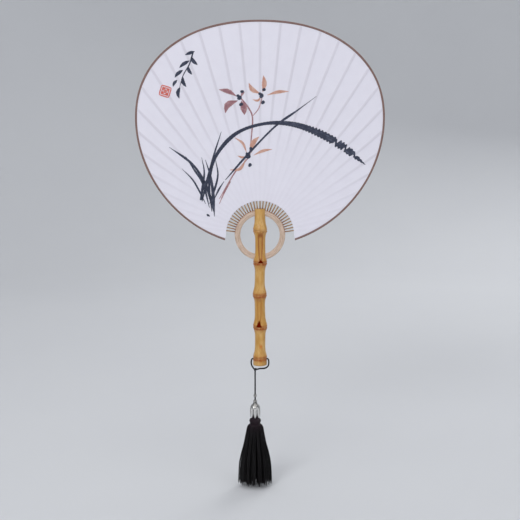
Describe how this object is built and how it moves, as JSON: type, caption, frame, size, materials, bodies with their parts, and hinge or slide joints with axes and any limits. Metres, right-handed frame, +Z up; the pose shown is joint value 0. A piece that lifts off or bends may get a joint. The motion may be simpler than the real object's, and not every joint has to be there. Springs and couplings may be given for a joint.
{
  "type": "hand fan",
  "caption": "Rigid round paper hand fan on radiating bamboo ribs, with a flat bamboo hoop, a bamboo-root handle and a hanging silk tassel under a silver cap.",
  "frame": {"origin": "centre of the handle's flat butt end", "axes": "+Z up the handle towards the leaf, +X across the leaf, -Y out of the painted side"},
  "size_m": [0.27, 0.0286, 0.5173],
  "materials": {
    "bamboo_root": "satin",
    "pale_bamboo": "satin",
    "leaf_paper": "matte",
    "edge_binding": "matte",
    "black_cord": "matte",
    "dark_silk": "satin",
    "silver": "satin"
  },
  "bodies": {
    "fan": {"handle": "bamboo_root", "ring": "pale_bamboo", "rib_01": "pale_bamboo", "rib_02": "pale_bamboo", "rib_03": "pale_bamboo", "rib_04": "pale_bamboo", "rib_05": "pale_bamboo", "rib_06": "pale_bamboo", "rib_07": "pale_bamboo", "rib_08": "pale_bamboo", "rib_09": "pale_bamboo", "rib_10": "pale_bamboo", "rib_11": "pale_bamboo", "rib_12": "pale_bamboo", "rib_13": "pale_bamboo", "rib_14": "pale_bamboo", "rib_15": "pale_bamboo", "rib_16": "pale_bamboo", "rib_17": "pale_bamboo", "rib_18": "pale_bamboo", "rib_19": "pale_bamboo", "rib_20": "pale_bamboo", "rib_21": "pale_bamboo", "rib_22": "pale_bamboo", "rib_23": "pale_bamboo", "rib_24": "pale_bamboo", "rib_25": "pale_bamboo", "rib_26": "pale_bamboo", "rib_27": "pale_bamboo", "rib_28": "pale_bamboo", "rib_29": "pale_bamboo", "rib_30": "pale_bamboo", "rib_31": "pale_bamboo", "front_paper": "leaf_paper", "back_paper": "leaf_paper", "rim_binding": "edge_binding", "ring_peg_upper": "pale_bamboo", "ring_peg_lower": "pale_bamboo"},
    "loop": {"cord_loop": "black_cord"},
    "upper_cord": {"upper_cord": "black_cord"},
    "lower_cord": {"lower_cord": "black_cord"},
    "tassel": {"tassel_head": "dark_silk", "neck_binding": "dark_silk", "tassel_skirt": "dark_silk"},
    "cap": {"silver_cap": "silver"},
    "bead": {"stopper_bead": "silver"}
  },
  "joints": [
    {"name": "loop_swing", "type": "hinge", "parent": "fan", "child": "loop", "pos_m": [0, 0, 0.007], "axis": [1, 0, 0], "range_deg": [-90, 90]},
    {"name": "cord_swing", "type": "hinge", "parent": "loop", "child": "upper_cord", "pos_m": [-0.0055, 0, -0.0056], "axis": [0, 1, 0], "range_deg": [-60, 60]},
    {"name": "tassel_tilt", "type": "hinge", "parent": "upper_cord", "child": "lower_cord", "pos_m": [-0.0055, 0, -0.02], "axis": [1, 0, 0], "range_deg": [-60, 60]},
    {"name": "tassel_spin", "type": "hinge", "parent": "lower_cord", "child": "tassel", "pos_m": [-0.0055, 0, -0.049], "axis": [0, 0, 1], "continuous": true},
    {"name": "cap_slide", "type": "slide", "parent": "lower_cord", "child": "cap", "axis": [0, 0, 1], "range_m": [0, 0.006]},
    {"name": "bead_slide", "type": "slide", "parent": "cap", "child": "bead", "axis": [0, 0, 1], "range_m": [-0.004, 0.006]}
  ]
}
